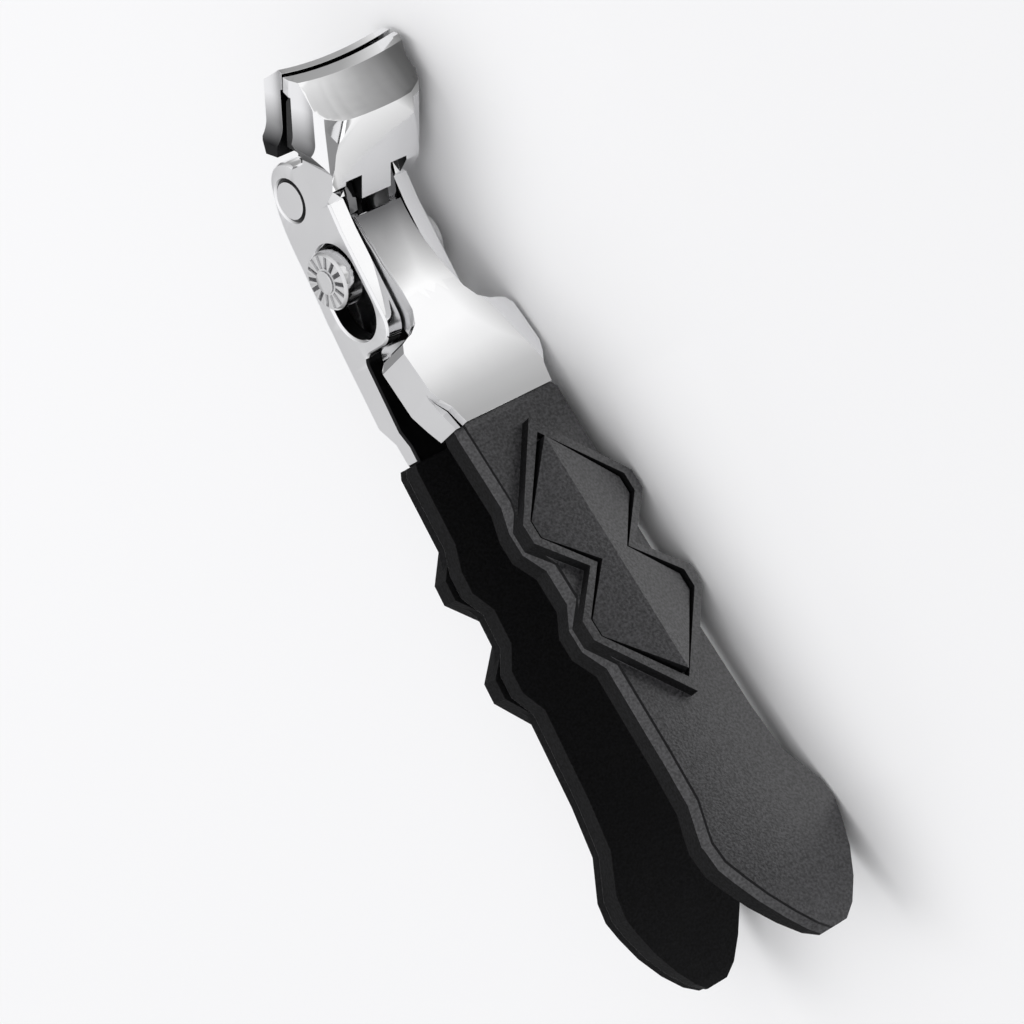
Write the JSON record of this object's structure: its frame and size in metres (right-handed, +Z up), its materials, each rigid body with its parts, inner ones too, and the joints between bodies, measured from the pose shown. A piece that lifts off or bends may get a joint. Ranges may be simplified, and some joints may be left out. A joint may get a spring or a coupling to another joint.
{
  "type": "nail clipper",
  "caption": "Plier-type nail clipper with leaning jaws, grooved sliding lock button, nail catcher and black relief grips.",
  "frame": {"origin": "middle of the underside of the whole clipper, which lies on its right-hand side", "axes": "+X towards the front handle, +Y towards the jaws along the rear handle, +Z up, which is the clipper's left side"},
  "size_m": [0.0296, 0.1114, 0.0172],
  "materials": {
    "steel": "polished stainless steel",
    "jaw_steel": "polished stainless steel, ground edge",
    "pin_steel": "polished",
    "spring_steel": "drawn wire",
    "grip_plastic": "fine-grained matte",
    "catcher_plastic": "smooth"
  },
  "bodies": {
    "rear_handle": {"rear_lever": "steel", "rear_grip": "grip_plastic", "nail_catcher": "catcher_plastic", "pivot_pin": "pin_steel", "pivot_washer_left": "pin_steel", "pivot_washer_right": "pin_steel", "return_spring": "spring_steel"},
    "front_handle": {"front_lever": "steel", "rear_jaw": "jaw_steel", "jaw_rivet": "pin_steel", "front_grip": "grip_plastic"},
    "lock": {"lock_shaft": "pin_steel", "lock_collar_left": "pin_steel", "lock_collar_right": "pin_steel", "lock_button_left": "pin_steel", "lock_button_right": "pin_steel"}
  },
  "joints": [
    {"name": "lever_pivot", "type": "hinge", "parent": "rear_handle", "child": "front_handle", "pos_m": [-0.00851, 0.04327, 0.0086], "axis": [0, 0, 1], "range_deg": [-1.4, 10], "stiffness_Nm_per_rad": 0.05},
    {"name": "lock_slide", "type": "slide", "parent": "rear_handle", "child": "lock", "axis": [0, -1, 0], "range_m": [0, 0.0039]}
  ]
}
